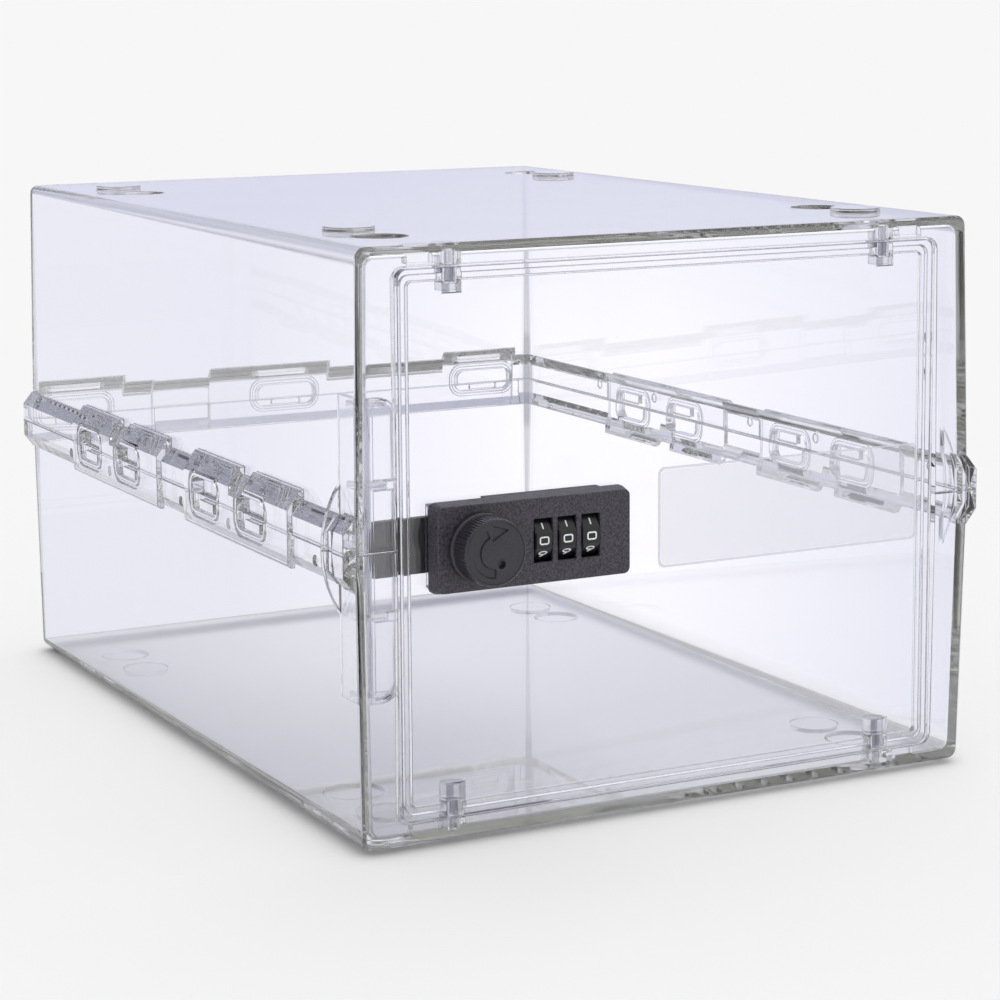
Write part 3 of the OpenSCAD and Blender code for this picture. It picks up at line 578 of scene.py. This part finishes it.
def studio():
    """A pale floor and an even sky. For reflections and for what clear plastic bends into view only, there is
    also a room that is lavender grey at the back, paler at the left, white overhead and dim in front, and a
    painted pool of light, where the paper beyond the box glows as an emission."""
    world = bpy.data.worlds.new("studio")
    scene.world = world
    world.use_nodes = True
    tree = world.node_tree
    tree.nodes.clear()
    at = add(tree, "ShaderNodeTexCoord")
    way = add(tree, "ShaderNodeSeparateXYZ", {0: at.outputs["Generated"]})
    behind = add(tree, "ShaderNodeMapRange", {"Value": way.outputs["Y"], 1: 0.15, 2: -0.45, 3: 0.0, 4: 1.0})
    above = add(tree, "ShaderNodeMapRange", {"Value": way.outputs["Z"], 1: 0.3, 2: 0.75, 3: 0.0, 4: 1.0})
    left = add(tree, "ShaderNodeMapRange", {"Value": way.outputs["X"], 1: -0.55, 2: -0.8, 3: 0.0, 4: 1.0})
    ahead = add(tree, "ShaderNodeMix", {
        0: behind.outputs[0], 6: srgb("#d9daec"), 7: srgb("#b4b4bc"),
    }, data_type="RGBA")
    side = add(tree, "ShaderNodeMix", {
        0: left.outputs[0], 6: ahead.outputs[2], 7: srgb("#e6e6f2"),
    }, data_type="RGBA")
    room = add(tree, "ShaderNodeMix", {
        0: above.outputs[0], 6: side.outputs[2], 7: srgb("#ffffff"),
    }, data_type="RGBA")
    path = add(tree, "ShaderNodeLightPath")
    bent = add(tree, "ShaderNodeMath", {
        0: path.outputs["Is Glossy Ray"], 1: path.outputs["Is Transmission Ray"],
    }, operation="MAXIMUM")
    seen = add(tree, "ShaderNodeMix", {
        0: bent.outputs[0], 6: (SKY, SKY, SKY, 1.0), 7: room.outputs[2],
    }, data_type="RGBA")
    colour = add(tree, "ShaderNodeMix", {
        0: path.outputs["Is Camera Ray"], 6: seen.outputs[2], 7: srgb("#f7f7f7"),
    }, data_type="RGBA")
    sky = add(tree, "ShaderNodeBackground", {"Color": colour.outputs[2], "Strength": 1.0})
    add(tree, "ShaderNodeOutputWorld", {"Surface": sky.outputs[0]})

    sun = bpy.data.lights.new("soft key", "SUN")
    sun.energy = SUN
    sun.angle = math.radians(50)
    key = bpy.data.objects.new("soft key", sun)
    scene.collection.objects.link(key)
    key.rotation_euler = (SUN_TILT, 0, math.radians(128))

    material, tree = new_material("floor paper")
    paper = add(tree, "ShaderNodeBsdfDiffuse", {"Color": (0.93, 0.93, 0.93, 1.0)})
    at = add(tree, "ShaderNodeTexCoord")
    where = add(tree, "ShaderNodeSeparateXYZ", {0: at.outputs["Object"]})
    across = add(tree, "ShaderNodeVectorMath", {
        0: at.outputs["Object"], 1: PATCH_ACROSS,
    }, operation="DOT_PRODUCT")
    along = add(tree, "ShaderNodeVectorMath", {
        0: at.outputs["Object"], 1: PATCH_ALONG,
    }, operation="DOT_PRODUCT")
    depth = add(tree, "ShaderNodeMath", {0: along.outputs["Value"], 1: PATCH_APEX}, operation="ADD")
    slope = add(tree, "ShaderNodeMath", {
        0: across.outputs["Value"], 1: depth.outputs[0],
    }, operation="DIVIDE")
    off = add(tree, "ShaderNodeMath", {0: slope.outputs[0], 1: PATCH_MIDDLE}, operation="SUBTRACT")
    aside = add(tree, "ShaderNodeMath", {0: off.outputs[0]}, operation="ABSOLUTE")
    spot = add(tree, "ShaderNodeMapRange", {
        "Value": aside.outputs[0], 1: PATCH_SIDE[0], 2: PATCH_SIDE[1], 3: 1.0, 4: 0.0,
    })
    fade = add(tree, "ShaderNodeMapRange", {
        "Value": along.outputs["Value"], 1: PATCH_FAR[0], 2: PATCH_FAR[1], 3: 1.0, 4: 0.3,
    })
    glow = add(tree, "ShaderNodeMath", {0: spot.outputs[0], 1: fade.outputs[0]}, operation="MULTIPLY")
    lit = add(tree, "ShaderNodeMix", {
        0: glow.outputs[0], 6: srgb("#ecedf7"), 7: (1.1, 1.08, 1.11, 1.0),
    }, data_type="RGBA")
    back = add(tree, "ShaderNodeMapRange", {
        "Value": where.outputs["Y"], 1: BEYOND_Y[0], 2: BEYOND_Y[1], 3: 0.0, 4: 1.0,
    })
    right = add(tree, "ShaderNodeMapRange", {
        "Value": where.outputs["X"], 1: BEYOND_X[0], 2: BEYOND_X[1], 3: 0.0, 4: 1.0,
    })
    behind = add(tree, "ShaderNodeMath", {0: back.outputs[0], 1: right.outputs[0]}, operation="MAXIMUM")
    # Painted light: seen through the clear plastic, the paper beyond the box glows as an emission, brightest in
    # the wedge
    beyond = add(tree, "ShaderNodeEmission", {"Color": lit.outputs[2]})
    path = add(tree, "ShaderNodeLightPath")
    bent = add(tree, "ShaderNodeMath", {
        0: path.outputs["Is Transmission Ray"], 1: behind.outputs[0],
    }, operation="MULTIPLY")
    both = add(tree, "ShaderNodeMixShader", {
        0: bent.outputs[0], 1: paper.outputs[0], 2: beyond.outputs[0],
    })
    add(tree, "ShaderNodeOutputMaterial", {"Surface": both.outputs[0]})
    corners = [(x * FLOOR_REACH, y * FLOOR_REACH, 0) for x, y in ((-1, -1), (1, -1), (1, 1), (-1, 1))]
    floor = piece("floor", corners, [(0, 1, 2, 3)], material)


studio()

scene.view_settings.view_transform = "Standard"
# Light crosses many clear walls, and the ribs of the belt turn it over and over
scene.cycles.max_bounces = 64
scene.cycles.transmission_bounces = 64
scene.cycles.glossy_bounces = 64
scene.cycles.transparent_max_bounces = 48
scene.cycles.caustics_refractive = False

lens = bpy.data.cameras.new("camera")
camera = bpy.data.objects.new("camera", lens)
scene.collection.objects.link(camera)
lens.lens = 100.188
lens.sensor_width = 36
lens.shift_y = -0.12
camera.location = (-0.40159, -0.79941, 0.23426)
turn = (
    Matrix.Rotation(math.radians(-27.403), 4, "Z")
    @ Matrix.Rotation(math.radians(81.950), 4, "X")
    @ Matrix.Rotation(math.radians(-0.367), 4, "Z")
)
camera.rotation_euler = turn.to_euler()
scene.camera = camera
